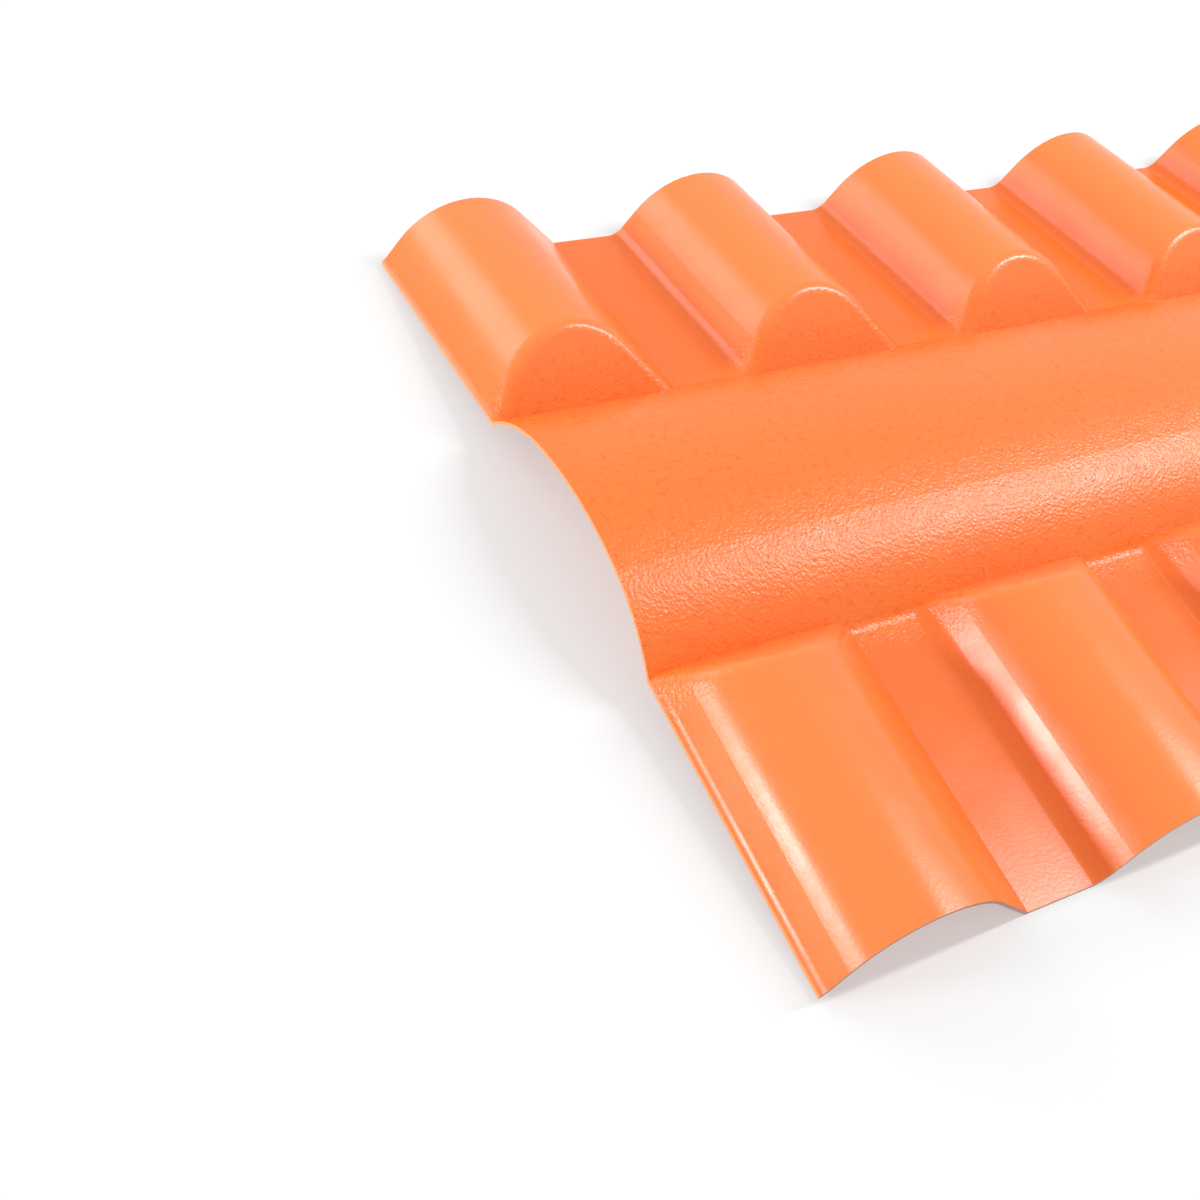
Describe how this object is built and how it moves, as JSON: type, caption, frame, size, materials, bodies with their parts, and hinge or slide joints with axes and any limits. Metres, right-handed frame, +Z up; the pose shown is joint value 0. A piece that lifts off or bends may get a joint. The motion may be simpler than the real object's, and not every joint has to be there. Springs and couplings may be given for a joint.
{
  "type": "ridge cap",
  "caption": "Corrugated plastic roof ridge cap: one thin formed sheet with a low barrel along the ridge and a wing of rounded rolls and flat pans falling away on each side.",
  "frame": {"origin": "on the floor, under the middle of the cap's length and width", "axes": "+X along the ridge, from the end where the first roll starts to the end that cuts the last roll off; +Y across the ridge; +Z up"},
  "size_m": [0.88, 0.5, 0.0534],
  "materials": {
    "sheet": "satin orange terracotta colour with a fine leather grain"
  },
  "bodies": {
    "root": {"ridge_cap": "sheet"}
  },
  "joints": []
}
